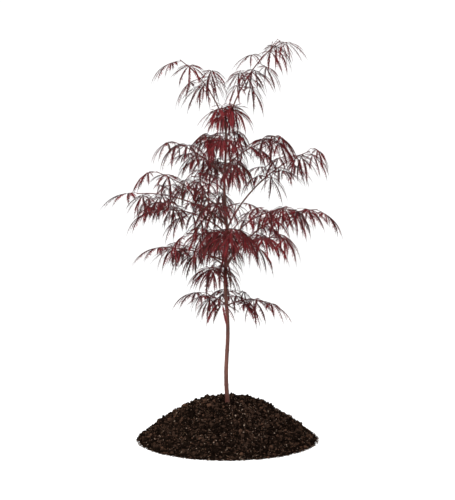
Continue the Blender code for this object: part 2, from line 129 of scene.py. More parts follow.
# One row for each branch: the height of its foot on the stem, or None at the stem's tip; its heading and
# rise there; how far it curls up and swerves round over its whole length; the lengths of its bare bough
# and of its leafy shoot; the radius of its foot; the leaf pairs on the shoot; leaf size; seed; and, for its
# looks alone, the spacing of its finer twigs and the mix of its tints.
Branch = namedtuple(
    "Branch", "name height heading rise curl swerve bare leafy radius pairs size seed twigs mix"
)
BRANCHES = [Branch(*row) for row in (
    ("top_left", 0.927, 192, 78, -44, 0, 0.124, 0.126, 0.0022, 3, 1, 11, OPEN, PLUM),
    ("top_right", 0.922, 8, 79, -40, 4, 0.131, 0.194, 0.0024, 4, 1, 19, OPEN, PLUM),
    ("crown_cap", None, -90, 86, 0, 0, 0, 0.034, 0.0026, 2, 1.05, 13, HANGING, BRIGHT),
    ("crown_front", 0.868, -95, 40, -30, 0, 0, 0.06, 0.002, 2, 1, 30, HANGING, RED),
    ("crown_back", 0.88, 85, 40, -25, 0, 0.035, 0.075, 0.0022, 2, 1, 16, EVEN, SHADED),
    ("crown_left", 0.878, 185, 30, -30, 0, 0, 0.055, 0.002, 2, 1, 29, CLOSE, DARK),
    ("crown_right", 0.862, 6, 34, -30, 0, 0, 0.06, 0.002, 2, 1, 10, CLOSE, DARK),
    ("upper_right", 0.816, -30, 46, -34, 40, 0.07, 0.095, 0.0024, 3, 1, 17, EVEN, DARK),
    ("upper_left", 0.794, 160, 44, -22, 15, 0.06, 0.122, 0.0025, 3, 1, 13, OPEN, DARK),
    ("upper_left_front", 0.745, 225, 42, -42, -30, 0.035, 0.085, 0.0022, 3, 1, 20, EVEN, DARK),
    ("upper_front", 0.795, -70, 40, -35, 0, 0, 0.085, 0.002, 2, 1, 14, CLOSE, DARK),
    ("upper_back", 0.77, 95, 36, -25, 0, 0.08, 0.1, 0.0025, 2, 1, 18, EVEN, SHADED),
    ("far_right", 0.633, 19, 64, -44, -8, 0.19, 0.168, 0.003, 4, 1, 22, OPEN, PLUM),
    ("middle_right", 0.69, -15, 50, -50, 0, 0, 0.05, 0.0016, 1, 0.8, 17, OPEN, DARK),
    ("middle_left_high", 0.684, 152, 34, -12, 10, 0.135, 0.125, 0.0026, 3, 1, 17, OPEN, DARK),
    ("middle_left_outer", 0.645, 172, 42, -46, 0, 0.174, 0.12, 0.003, 4, 1, 25, OPEN, DARK),
    ("middle_left_inner", 0.616, 208, 44, -52, -22, 0.07, 0.165, 0.0026, 3, 1, 11, EVEN, SHADED),
    ("middle_front", 0.645, 250, 40, -36, 10, 0.05, 0.12, 0.0024, 3, 1, 29, EVEN, SHADED),
    ("middle_back", 0.664, 104, 34, -26, 0, 0.11, 0.115, 0.0027, 2, 1, 27, EVEN, SHADED),
    ("lower_left_outer", 0.535, 180, 24, -22, 0, 0.07, 0.12, 0.0028, 3, 1, 28, OPEN, DARK),
    ("lower_left_front", 0.575, 222, 38, -40, -15, 0.04, 0.11, 0.0024, 3, 1, 12, CLOSE, RED),
    ("lower_front", 0.565, -88, 36, -40, 0, 0.05, 0.14, 0.0026, 3, 1, 14, CLOSE, RED),
    ("lower_right_inner", 0.585, -28, 56, -54, 10, 0.075, 0.15, 0.0025, 3, 1, 34, CLOSE, RED),
    ("lower_right_outer", 0.515, 12, 62, -62, 4, 0.118, 0.235, 0.0032, 5, 1, 32, OPEN, RED),
    ("lower_back", 0.51, 95, 32, -30, 0, 0.09, 0.15, 0.0028, 2, 1, 33, EVEN, SHADED),
    ("lower_back_left", 0.52, 140, 30, -25, 0, 0.08, 0.12, 0.0026, 2, 1, 34, EVEN, SHADED),
    ("lower_back_right", 0.548, 58, 34, -30, 0, 0.08, 0.11, 0.0026, 2, 1, 38, EVEN, SHADED),
    ("low_front_left", 0.492, 238, 36, -30, 0, 0, 0.085, 0.0022, 1, 1, 43, CLOSE, DARK),
    ("low_front_right", 0.528, -40, 50, -52, 16, 0.095, 0.11, 0.0024, 2, 1, 44, EVEN, RED),
    ("bottom_left", 0.408, 183, 26, 6, 0, 0.028, 0.04, 0.0018, 1, 0.95, 36, OPEN, DARK),
    ("bottom_right", 0.402, -18, 30, -46, 8, 0.025, 0.092, 0.0022, 2, 0.95, 16, OPEN, DARK),
    ("bottom_front", 0.398, -105, 30, -20, 0, 0, 0.045, 0.0016, 1, 0.9, 27, EVEN, RED),
    ("bottom_back", 0.405, 88, 26, -20, 0, 0.04, 0.07, 0.002, 1, 0.95, 40, EVEN, SHADED),
)]

Leaf = namedtuple("Leaf", "node hub heading size tilt")
Twig = namedtuple("Twig", "path leaves")

# ---------- sizes that only the looks need

# Seeds, and what is added to a branch's own seed
LOBE_SEED = 5
TRUNK_SEED = 1
SOIL_SEED = 77
SHOOT_SEED = 50
TINT_SEED = 500
TWIG_SEED = 7
TWIG_SEED_STEP = 100
# How widely the places in the noise are drawn
BARK_NOISE_SPAN = 100
LUMP_NOISE_SPAN = 50

# Finely cut leaves
BASE_LOBES = ((-140, 0.30), (140, 0.30))
LOBE_KINDS = 10
BLADE_STEPS = 9
BLADE_BASE = 0.0007
BLADE_HALF_WIDTH = 0.0033
BLADE_FOLD = 0.45
# The lower, the nearer to the hub a lobe's blade or teeth are fullest; and how pointed it is
BLADE_FULLEST = 0.85
TOOTH_FULLEST = 0.9
POINTEDNESS = 1.2
# The first faces of a lobe are its blade's
BLADE_FACES = 4 * (BLADE_STEPS - 1) + 2
TEETH = 9
FIRST_TOOTH = 0.15
LAST_TOOTH = 0.82
TOOTH_STRAY = 0.2
TOOTH_LENGTH = 0.0125
TOOTH_VARIES = (0.65, 1.1)
TOOTH_HALF_WIDTH = 0.0014
TOOTH_ANGLE = (20, 36)
TOOTH_DROOP = 0.35
# A tooth's corners, as shares of its length and of half its width
TOOTH_CORNERS = ((-0.05, -0.4), (0.45, 1), (1, 0), (0.30, -1))
LOBE_ROLL = (5, 40)
LOBE_SWEEP = 0.08
LOBE_STIFFNESS = (0.72, 1.12)
# The tops' leaves are young, and their lobes narrower
SLIM_TIER = "top"
SLIMNESS = 0.80
STALK_ROOT = 0.00095
STALK_TIP = 0.0006
STALK_KNOB = 1.6
STALK_BOW = 0.07

# Finer twigs
TWIG_LENGTH = (0.012, 0.040)
TWIG_TURN = (30, 85)
TWIG_RISE = (0, 40)
TWIG_CURL = -10
TWIG_RADIUS = 0.0009
TWIG_TAPER = 0.7
TWIG_END = 0.96
TWIG_LEAF_SIZE = (0.70, 0.95)
TWIG_TRIES = 4
UPRIGHT_SHARE = 0.3
LOOSENESS = 0.5
HUB_SPACING = 0.016
REACH_LAP = 0.004
# Young leaves that hang down
HANGING_HEADING = (-170, -10)
HANGING_TILT = (55, 88)
HANGING_SPACING = 0.008
HANGING_TRIES = 12

# Bark, with a ring at each joint that swells most at the scars of its two buds
TRUNK_SIDES = 24
TRUNK_RING = 0.0025
TRUNK_SUNK = 0.004
TRUNK_GRAIN = 60
BOUGH_SIDES = 12
BOUGH_RING = 0.0030
BOUGH_GRAIN = 120
SHOOT_SIDES = 8
THIN_RING = 0.0040
STALK_SIDES = 5
JOINT_SPACING = 0.052
JOINT_LENGTH = 0.0022
RING_SWELL = 0.045
SCAR_SWELL = 0.09
BARK_GRAIN = 0.035
GRAIN_ROUND = 2.0
COLLAR_LENGTH = 0.006
COLLAR_SWELL = 0.55
BUD_LENGTH = 0.0042
BUD_RADIUS = 0.0013
BUD_SIDES = 6
# A bud's rings, as shares of its length and of its radius
BUD_RINGS = ((0, 0.8), (0.35, 1), (0.7, 0.7), (1, 0.1))
# On steeper tubes, the sides are counted from +Y, and not from the vertical
NEARLY_UPRIGHT = 0.9

# Soil: the lumps, clods and grit of its surface, which fade out near the rim and the stem
HEAP_RINGS = 110
HEAP_SIDES = 300
CLOD_SIZE = 0.012
CLOD_HEIGHT = 0.0070
CLOD_SHARPNESS = 0.7
CLOD_SUNK = 0.25
GRIT_SIZE = 0.0042
GRIT_HEIGHT = 0.0026
RIM_FADE = 0.03
RIM_RELIEF = 0.3
PAD_FADE = 0.01
STEM_CLEAR = 0.004
STEM_FADE = 0.02
RIM_WANDER = 0.007
WANDER_WAVES = 9
WANDER_POWER = 6

# Loose lumps on the soil: their name, how often their faces are split, their number, their least and
# largest radius, how deep they sit, and how often they take each of the crumb colours below
LUMPS = (
    ("soil_clods", 1, 2450, (0.0028, 0.0068), 0.3, (0.56, 0.38, 0.06, 0.0)),
    ("soil_crumbs", 0, 9500, (0.0014, 0.0036), 0.1, (0.44, 0.34, 0.18, 0.04)),
    # The grains take the warm and pale colours most often: partly their own tone, partly painted highlight
    # for bright specks of light on the soil
    ("soil_grains", 0, 9500, (0.0008, 0.0020), 0.1, (0.28, 0.22, 0.32, 0.18)),
)
LUMP_KINDS = 10
LUMP_ROUGHNESS = ((1.3, 0.55), (2.9, 0.40))
LUMP_STRETCH = ((0.7, 1.25), (0.7, 1.25), (0.55, 1.0))
# The higher, the fewer of them are large
SMALL_ONES = 2.4
# How far past the rim the smallest lie, and how much further in each lies for its radius
RIM_SPILL = 0.014
RIM_KEEP = 3.0
# Longer than an edge of a twenty-sided ball of radius 1, and shorter than its diagonals
BALL_EDGE = 1.2
FIBRES = 140
FIBRE_LENGTH = (0.006, 0.018)
FIBRE_STEPS = 3
FIBRE_BEND = 40
FIBRE_RADIUS = 0.0004
FIBRE_VARIES = (0.6, 1.4)
FIBRE_SIDES = 4
FIBRE_LIFT = 0.0015
FIBRE_REACH = 0.97

# Colours as linear red, green and blue
TINTS = {
    "burgundy": (0.050, 0.0070, 0.0070),
    "plum": (0.029, 0.0052, 0.0054),
    "wine": (0.064, 0.0074, 0.0080),
    "red": (0.112, 0.0090, 0.0114),
    "olive": (0.028, 0.0120, 0.0054),
    "rose": (0.170, 0.0150, 0.0190),
}
LEAF_ROUGHNESS = 0.5
LEAF_GLOSS = 0.10
# By the number of a lobe's own tint: the darker tint of one half of its blade, which is painted shade on
# that side of its fold, and the tint of its teeth. That half starts a share of the way out from the hub.
SHADE_HALF_TINT = (1, 1, 0, 0, 1)
TOOTH_TINT = (5, 3, 5, 5, 2)
HUB_SHARE = 0.30
# How often a lobe's tint isn't its leaf's
OWN_TINT_SHARE = 0.4
BARK_COLOURS = ((0.028, 0.009, 0.007), (0.082, 0.026, 0.018), (0.120, 0.046, 0.032))
STALK_COLOURS = ((0.050, 0.010, 0.011), (0.100, 0.020, 0.018))
# The earth that shows between the crumbs is the soil's dark brown darkened to near black: painted shade in
# the gaps between them
SHADED_EARTH_COLOURS = ((0.001, 0.0006, 0.0004), (0.005, 0.003, 0.002), (0.012, 0.007, 0.005))
CRUMB_COLOURS = {
    "crumb_dark": ((0.0012, 0.0007, 0.0005), (0.009, 0.0054, 0.0038)),
    "crumb_brown": ((0.008, 0.0045, 0.003), (0.044, 0.025, 0.017)),
    "crumb_warm": ((0.026, 0.013, 0.008), (0.086, 0.046, 0.030)),
    # Pale crumbs: partly light flecks in the soil, partly painted highlight for bright specks of light on
    # the crumbs
    "crumb_pale": ((0.080, 0.056, 0.040), (0.260, 0.190, 0.145)),
}
FIBRE_COLOUR = (0.110, 0.070, 0.042)
FIBRE_ROUGHNESS = 0.85
SOIL_GLOSS = 0.0
# A mottled surface: the size and stretch of its grain, its shine, and its bump's strength and depth
Finish = namedtuple("Finish", "scale stretch roughness gloss bump depth")
BARK_FINISH = Finish(160, (1, 1, 0.16), 0.5, 0.25, 0.35, 0.0006)
STALK_FINISH = Finish(220, (1, 1, 1), 0.5, 0.25, 0.1, 0.0003)
EARTH_FINISH = Finish(140, (1, 1, 1), 0.95, SOIL_GLOSS, 0.6, 0.002)
CRUMB_FINISH = Finish(260, (1, 1, 1), 0.9, SOIL_GLOSS, 0.9, 0.002)
MOTTLE_DETAIL = 6
MOTTLE_ROUGHNESS = 0.65
# The part of the noise's range that the colours are spread over: its start and its length
MOTTLE_RANGE = (0.30, 0.40)

# The leaves are joined tier by tier, from the top down, by the start of the branches' names
TIERS = ("top", "crown", "upper", "far_and_middle", "lower", "low_and_bottom")

CAMERA_PLACE = (0, -3.0, 0.70)
CAMERA_TARGET = (0, 0, 0.57)
CAMERA_LENS = 72
SENSOR_HEIGHT = 36
FLOOR_HALF = 12.0
FLOOR_DROP = 0.0005
FLOOR_COLOUR = (0.96, 0.96, 0.96)
SKY_STRENGTH = 1.06
# The name, place, target, size and energy of each lamp
LIGHTS = (
    ("key", (-1.6, -2.2, 2.6), (0, 0, 0.6), 0.6, 130),
    ("fill", (2.4, -1.8, 1.4), (0, 0, 0.5), 1.6, 12),
)


# ---------- the rule that the tree grows by


def direction(heading, rise):
    """The unit vector at that heading and rise, in degrees."""
    turn, lift = math.radians(heading), math.radians(rise)
    return Vector((math.cos(turn) * math.cos(lift), math.sin(turn) * math.cos(lift), math.sin(lift)))


def walk(start, heading, rise, length, curl, swerve=0.0, steps=2):
    """Points along an arc that leaves start at that heading and rise, and turns by swerve and curl."""
    points = [Vector(start)]
    for step in range(steps):
        share = (step + 0.5) / steps
        ahead = direction(heading + swerve * share, rise + curl * share)
        points.append(points[-1] + ahead * (length / steps))
    return points


def trunk_point(height):
    """The middle of the stem at that height above the mound's underside."""
    share = (height - SOIL_LEVEL) / (TRUNK_TOP - SOIL_LEVEL)
    wave = math.tau * SWAY_WAVES * (share - SWAY_START)
    return Vector((LEAN * share + SWAY * math.sin(wave), SWAY * math.cos(wave), height))


def trunk_radius(height):
    """The stem's radius at that height, with the root flare at its foot."""
    share = (height - SOIL_LEVEL) / (TRUNK_TOP - SOIL_LEVEL)
    flare = FLARE * math.exp(-(height - SOIL_LEVEL) / FLARE_HEIGHT)
    return TRUNK_RADIUS + (TRUNK_TIP_RADIUS - TRUNK_RADIUS) * share + flare


def trunk_path():
    """Points up the middle of the stem, closer together in the root flare."""
    flare = [SOIL_LEVEL + FLARE_HEIGHT * share for share in FLARE_STEPS]
    first = flare[-1]
    rest = [first + (TRUNK_TOP - first) * step / TRUNK_STEPS for step in range(1, TRUNK_STEPS + 1)]
    return [trunk_point(height) for height in flare + rest]


def crowns_a_limb(branch):
    """True if a branch's shoot starts at a limb's tip, and not on the side of the stem."""
    return branch.bare > 0 or branch.height is None


def limb_paths(branch):
    """The middle lines of a branch's bare bough, or None, and of its leafy shoot.

    A shoot at a limb's tip starts a gap beyond it, and leads straight on for a little before it bends.
    """
    foot = trunk_point(TRUNK_TOP if branch.height is None else branch.height)
    share = branch.bare / (branch.bare + branch.leafy)
    curl, swerve = branch.curl * share, branch.swerve * share
    heading, rise = branch.heading + swerve, branch.rise + curl
    bough, lead, ahead = None, [], direction(heading, rise)
    if branch.bare:
        steps = max(2, round(branch.bare / LIMB_STEP))
        bough = walk(foot, branch.heading, branch.rise, branch.bare, curl, swerve, steps)
        foot = bough[-1]
        ahead = (foot - bough[-2]).normalized()
    if crowns_a_limb(branch):
        lead = [foot + ahead * GAP]
        foot = foot + ahead * LEAD
    steps = max(2, round(branch.leafy / LIMB_STEP))
    shoot = walk(foot, heading, rise, branch.leafy, branch.curl - curl, branch.swerve - swerve, steps)
    return bough, lead + shoot


def limb_radii(branch):
    """The radii at a branch's foot, where its bough ends, and at its shoot's tip."""
    share = branch.bare / (branch.bare + branch.leafy)
    middle = branch.radius + (SHOOT_TIP_RADIUS - branch.radius) * share
    return branch.radius, middle, SHOOT_TIP_RADIUS


def along(path, distance):
    """The point that far along a path, and its heading and rise there."""
    for near, far in zip(path, path[1:]):
        step = far - near
        if distance < step.length:
            break
        distance -= step.length
    point = near + step.normalized() * min(distance, step.length)
    heading = math.degrees(math.atan2(step.y, step.x))
    rise = math.degrees(math.atan2(step.z, math.hypot(step.x, step.y)))
    return point, heading, rise


def blade_axes(leaf):
    """Unit vectors ahead along a leaf, to its left, and square to the plane that its lobes spread in."""
    ahead = direction(leaf.heading, -leaf.tilt)
    left = direction(leaf.heading + 90, 0)
    return ahead, left, ahead.cross(left)


def outward(leaf, angle):
    """The unit vector in the plane of a leaf, at that many degrees to the left of straight ahead."""
    ahead, left, _ = blade_axes(leaf)
    return ahead * math.cos(math.radians(angle)) + left * math.sin(math.radians(angle))


def breadth(share):
    """How wide a lobe or tooth is against the longest one, by its share of that one's length."""
    return LEAST_BREADTH + (1 - LEAST_BREADTH) * share


def lobe_path(leaf, angle, share, steps=2):
    """The middle line of one lobe: it arches out from the hub and over, and hangs at its tip."""
    out = outward(leaf, angle)
    rise = math.degrees(math.asin(out.z)) + LOBE_LIFT
    curl = max(LOBE_CURL, STEEPEST - rise)
    heading = math.degrees(math.atan2(out.y, out.x))
    return walk(leaf.hub, heading, rise, LEAF_LENGTH * leaf.size * share, curl, 0, steps)


def add_lobe(points, faces, lobe, path, side, rise):
    """One lobe of a leaf, between the two notches beside it: a long kite with a raised rib."""
    onward = (path[2] - path[0]).normalized()
    widest = path[0].lerp(path[1], 2 * LOBE_WIDEST)
    before, after, near = lobe + 2, lobe + 3, len(points)
    tip, far, rib = near + 1, near + 2, near + 3
    points += [widest - side, path[2] + onward * (rise - LOBE_RIDGE), widest + side]
    points.append(widest + onward.cross(side.normalized()) * rise)
    faces += [
        (0, before, rib), (before, near, rib), (near, tip, rib), (tip, far, rib), (far, after, rib),
        (after, 0, rib), (1, near, before), (1, far, near), (1, after, far), (near, far, tip),
    ]


def add_stalk(points, faces, leaf, reach, radius):
    """A three-sided stalk that runs that share of the way from the hub's underside to the leaf's node."""
    foot, last = len(points), 2 + len(LOBES)
    run = leaf.node - leaf.hub
    down = run.cross(blade_axes(leaf)[1]).normalized()
    across = down.cross(run).normalized() * math.sqrt(0.75)
    for way in (down, -across - down / 2, across - down / 2):
        points.append(leaf.hub + run * reach + way * radius)
    ring = (1, 2, last)
    faces += [(0, last, 2), (foot, foot + 1, foot + 2)]
    faces += [(ring[k - 1], ring[k], foot + k, foot + (k - 1) % 3) for k in range(3)]


def leaf_shape(leaf, guard=0.0, reach=1.0):
    """A leaf's points and faces: a small hub with a ring of notches, its lobes, and its stalk.

    Guard is how much larger it is made all over, to test whether it has room.
    """
    normal = blade_axes(leaf)[2]
    points = [leaf.hub + normal * (HUB_HALF + guard), leaf.hub - normal * (HUB_HALF + guard)]
    faces = []
    angles = [angle for angle, share in LOBES]
    notches = [-BACK_NOTCH] + [(a + b) / 2 for a, b in zip(angles, angles[1:])] + [BACK_NOTCH]
    points += [leaf.hub + outward(leaf, angle) * (NOTCH_RADIUS + guard) for angle in notches]
    for lobe, (angle, share) in enumerate(LOBES):
        path = lobe_path(leaf, angle, share)
        half_width = LOBE_HALF_WIDTH * leaf.size * breadth(share) + guard
        side = normal.cross(path[2] - path[0]).normalized() * half_width
        add_lobe(points, faces, lobe, path, side, LOBE_RIDGE + guard)
    add_stalk(points, faces, leaf, reach, STALK_RADIUS + guard)
    return points, faces


def rod_shape(path, radius):
    """The points and faces of a four-sided sleeve along a path, for testing what lies too near it."""
    points, faces = [], []
    for index, place in enumerate(path):
        ahead = path[min(index + 1, len(path) - 1)] - path[max(index - 1, 0)]
        side = ahead.orthogonal().normalized()
        other = ahead.cross(side).normalized()
        points += [place + way * radius for way in (side, other, -side, -other)]
        if index:
            ring = 4 * index
            for a, b in ((0, 1), (1, 2), (2, 3), (3, 0)):
                faces.append((ring + a, ring + b, ring - 4 + b, ring - 4 + a))
    return points, faces


class Room:
    """What stands where. A shoot's own space is what lies nearer to it than to any other, or nearly so."""

    def __init__(self):
        self.taken, owners, starts, ends = [], [], [], []
        self.take(rod_shape(trunk_path(), TRUNK_RADIUS + GUARD))
        for branch in BRANCHES:
            bough, shoot = limb_paths(branch)
            self.take(rod_shape(shoot, branch.radius + GUARD))
            if bough:
                self.take(rod_shape(bough, branch.radius + GUARD))
            line = [point - UP * SPACE_DROP for point in shoot]
            owners += [branch.name] * (len(line) - 1)
            starts += line[:-1]
            ends += line[1:]
        self.limbs = len(self.taken)
        self.owners, self.starts = np.array(owners), np.array(starts)
        self.runs = np.array(ends) - self.starts

    def take(self, shape):
        """Keeps a shape's place taken."""
        self.taken.append(BVHTree.FromPolygons(*shape))

    def in_own_space(self, name, points):
        """True if all of the points lie in that branch's own space."""
        off = np.array(points)[:, None] - self.starts
        share = np.clip((off * self.runs).sum(2) / (self.runs**2).sum(1), 0, 1)
        far = np.linalg.norm(off - share[..., None] * self.runs, axis=2)
        own = far[:, self.owners == name].min(1) - SPACE_LAP
        return (far.min(1) > own).all()

    def is_free(self, shape, among=None):
        """True if a shape touches nothing that has its place, or none of the first so many of those."""
        tree = BVHTree.FromPolygons(*shape)
        return not any(tree.overlap(other) for other in self.taken[:among])

    def accepts(self, name, leaf):
        """True if a leaf keeps to its shoot's space and touches nothing, but for its stalk's foot."""
        tips = [point for lobe in LOBES for point in lobe_path(leaf, *lobe)[1:]]
        return self.in_own_space(name, tips) and self.is_free(leaf_shape(leaf, GUARD, STALK_CLEAR))


def draw_leaf(draw, branch, node, side, upright, loose):
    """One leaf of the pair at a node, on one side (1 or -1) of the shoot.

    An upright pair has one leaf that falls back over the shoot, and one that falls forward. The looser
    the rule, from 0 to 1, the further the leaf may stray.
    """
    place, heading, rise = node
    turns, rises = (BACKWARD if side > 0 else FORWARD) if upright else SIDEWAYS
    heading += draw.uniform(*turns) * (1 if upright else side)
    rise = draw.uniform(*rises) + (0 if upright else SHOOT_RISE_KEPT * rise)
    heading += draw.uniform(-1, 1) * STRAY_TURN * loose
    rise = max(rise + draw.uniform(-1, 1) * STRAY_RISE * loose, LOWEST_STALK)
    hub = place + direction(heading, rise) * STALK_LENGTH * draw.uniform(*STALK_VARIES)
    heading += draw.uniform(-BLADE_TURN, BLADE_TURN)
    tilt = max(draw.uniform(*TILT), STALK_ABOVE_BLADE - rise)
    size = branch.size * draw.uniform(*SIZE_VARIES) * (1 - STRAY_SHRINK * loose)
    return Leaf(place, hub, heading, size, tilt)


def place_leaf(room, draw, branch, leaves, node, side, upright):
    """Adds the first of a few drawn leaves that has room, if any does."""
    for attempt in range(TRIES):
        leaf = draw_leaf(draw, branch, node, side, upright, attempt / (TRIES - 1))
        if room.accepts(branch.name, leaf):
            room.take(leaf_shape(leaf, 0, STALK_CLEAR))
            leaves.append(leaf)
            return


def grow(room, branch):
    """The leaves of a shoot, from its tip inwards: one at the tip, then opposite pairs set crosswise."""
    draw = random.Random(branch.seed)
    shoot = limb_paths(branch)[1]
    first = FIRST_NODE if crowns_a_limb(branch) else FIRST_NODE_AT_TRUNK
    last = branch.leafy - LAST_NODE
    leaves = []
    place_leaf(room, draw, branch, leaves, along(shoot, last), -1, True)
    for pair in reversed(range(branch.pairs)):
        node = along(shoot, first + (last - first) * pair / branch.pairs)
        upright = (branch.pairs - pair) % 2 == 0
        for side in (1, -1):
            place_leaf(room, draw, branch, leaves, node, side, upright)
    return leaves


# ---------- finer twigs


def reach_of(branch):
    """The lowest and highest corners that a mass's finer leaves may reach: just past its solid's box."""
    low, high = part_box("foliage_" + branch.name)
    return np.array(low) - REACH_LAP, np.array(high) + REACH_LAP


def finer_leaf(room, draw, branch, node, side, hubs, reach):
    """A small leaf at a twig's node, or None if it finds no room."""
    tight = branch.twigs == HANGING
    tries, spacing = (HANGING_TRIES, HANGING_SPACING) if tight else (TWIG_TRIES, HUB_SPACING)
    for _ in range(tries):
        leaf = draw_leaf(draw, branch, node, side, draw.random() < UPRIGHT_SHARE, LOOSENESS)
        leaf = leaf._replace(size=branch.size * draw.uniform(*TWIG_LEAF_SIZE))
        if tight:
            leaf = leaf._replace(heading=draw.uniform(*HANGING_HEADING), tilt=draw.uniform(*HANGING_TILT))
        tips = np.array([point for lobe in LOBES for point in lobe_path(leaf, *lobe)[1:]])
        crowded = any((leaf.hub - hub).length < spacing for hub in hubs)
        within = (reach[0] < tips).all() and (tips < reach[1]).all()
        fits = within and not crowded and room.in_own_space(branch.name, tips)
        if fits and room.is_free(leaf_shape(leaf, 0, STALK_CLEAR), room.limbs):
            hubs.append(leaf.hub)
            return leaf
    return None


def grow_finer(room, branch, leaves):
    """Short twigs along a shoot, each with one or two small leaves, which fill the shoot's own space."""
    draw = random.Random(branch.seed * TWIG_SEED_STEP + TWIG_SEED)
    shoot = limb_paths(branch)[1]
    hubs = [leaf.hub for leaf in leaves]
    reach = reach_of(branch)
    twigs = []
    first = FIRST_NODE if crowns_a_limb(branch) else FIRST_NODE_AT_TRUNK
    for index in range(int((branch.leafy - first) / branch.twigs) + 1):
        place, heading, rise = along(shoot, first + index * branch.twigs)
        for side in (1, -1):
            turn, lift, length = (draw.uniform(*span) for span in (TWIG_TURN, TWIG_RISE, TWIG_LENGTH))
            path = walk(place, heading + side * turn, rise + lift, length, TWIG_CURL)
            node = along(path, length * TWIG_END)
            found = [finer_leaf(room, draw, branch, node, way, hubs, reach) for way in (1, -1)]
            found = [leaf for leaf in found if leaf]
            if found:
                twigs.append(Twig(path, found))
    return twigs


# ---------- meshes


def put(name, data):
    """A new object of that mesh, lamp or camera."""
    placed = bpy.data.objects.new(name, data)
    bpy.context.scene.collection.objects.link(placed)
    return placed


def join(name, nodes, parts, materials, smooth=True):
    """A piece out of many parts, each its points, its triangles and the numbers of their materials.

    It rides on the one body, takes its finish from a slot, and stands for those nodes.
    """
    mesh = bpy.data.meshes.new(name)
    points = np.concatenate([part[0] for part in parts])
    offsets = np.cumsum([0] + [len(part[0]) for part in parts[:-1]])
    faces = np.concatenate([part[1] + offset for part, offset in zip(parts, offsets)])
    slots = np.concatenate([np.broadcast_to(part[2], len(part[1])) for part in parts])
    mesh.vertices.add(len(points))
    mesh.vertices.foreach_set("co", points.astype(np.float32).ravel())
    mesh.loops.add(faces.size)
    mesh.loops.foreach_set("vertex_index", faces.astype(np.int32).ravel())
    mesh.polygons.add(len(faces))
    mesh.polygons.foreach_set("loop_start", np.arange(0, faces.size, 3, dtype=np.int32))
    mesh.polygons.foreach_set("material_index", slots.astype(np.int32))
    mesh.polygons.foreach_set("use_smooth", np.full(len(faces), smooth))
    for material in materials:
        mesh.materials.append(material)
    mesh.update(calc_edges=True)
    mesh.validate()
    piece = put(name, mesh)
    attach(piece, "root")
    if nodes:
        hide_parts(*nodes)


def fine_path(path, step):
    """Points evenly along a smooth curve (a Catmull-Rom spline) through a path's points."""
    knots = [2 * path[0] - path[1]] + list(path) + [2 * path[-1] - path[-2]]
    fine = []
    for before, near, far, after in zip(knots, knots[1:], knots[2:], knots[3:]):
        count = max(1, round((far - near).length / step))
        for index in range(count):
            share = index / count
            fine.append(0.5 * (
                2 * near + (far - before) * share
                + (2 * before - 5 * near + 4 * far - after) * share**2
                + (3 * near - before - 3 * far + after) * share**3
            ))
    return np.array(fine + [path[-1]])


def runs_of(path):
    """How far along a path each of its points is."""
    return np.concatenate([[0], np.cumsum(np.linalg.norm(np.diff(path, axis=0), axis=1))])


def ring_faces(rings, sides):
    """The triangles between rings of points, and round two end points that come after the rings."""
    fan = np.arange(sides)
    after = (fan + 1) % sides
    near = np.arange(rings - 1)[:, None] * sides
    far = near + sides
    quads = np.stack([near + fan, near + after, far + after, far + fan], axis=-1).reshape(-1, 4)
    rim, first = (rings - 1) * sides, np.full(sides, rings * sides)
    caps = np.stack([first, after, fan], axis=1), np.stack([first + 1, rim + fan, rim + after], axis=1)
    return np.concatenate([quads[:, [0, 1, 2]], quads[:, [0, 2, 3]], *caps])


def tube_parts(path, radii, sides, relief=None):
    """A closed tube along fine points, as a list of one part. relief(turn, run) scales the radius there."""
    ahead = np.gradient(path, axis=0)
    ahead /= np.linalg.norm(ahead, axis=1)[:, None]
    guide = np.array(UP if abs(ahead[0][2]) < NEARLY_UPRIGHT else (0, 1, 0), float)
    side = guide - (ahead @ guide)[:, None] * ahead
    side /= np.linalg.norm(side, axis=1)[:, None]
    other = np.cross(ahead, side)
    turns = np.linspace(0, math.tau, sides, endpoint=False)
    run = runs_of(path)
    reach = np.repeat(np.asarray(radii)[:, None], sides, axis=1)
    if relief:
        reach = reach * relief(turns[None, :], run[:, None])
    ring = np.cos(turns)[None, :, None] * side[:, None] + np.sin(turns)[None, :, None] * other[:, None]
    points = (path[:, None] + ring * reach[..., None]).reshape(-1, 3)
    return [(np.concatenate([points, path[:1], path[-1:]]), ring_faces(len(path), sides), 0)]


# ---------- leaves


def blade_width(share):
    """Half the width of a lobe's blade, that share of the way along it."""
    swell = math.sin(math.pi * share**BLADE_FULLEST) ** POINTEDNESS
    return BLADE_BASE * (1 - share) + (BLADE_HALF_WIDTH - BLADE_BASE) * swell


def tooth_points(share, side, draw):
    """The corners of a tooth that leaves a lobe there, on one side (1 or -1), and leans forward."""
    swell = math.sin(math.pi * share**TOOTH_FULLEST) ** POINTEDNESS
    reach = TOOTH_LENGTH * swell * draw.uniform(*TOOTH_VARIES)
    angle = math.radians(draw.uniform(*TOOTH_ANGLE))
    run, out = math.cos(angle), math.sin(angle)
    root = blade_width(share) / 2
    half = TOOTH_HALF_WIDTH * breadth(swell)
    corners = []
    for ahead, across in TOOTH_CORNERS:
        forward = reach * ahead * run - half * across * out
        sideways = root + reach * ahead * out + half * across * run
        corners.append((share + forward / LEAF_LENGTH, side * sideways, -TOOTH_DROOP * reach * ahead))
    return corners


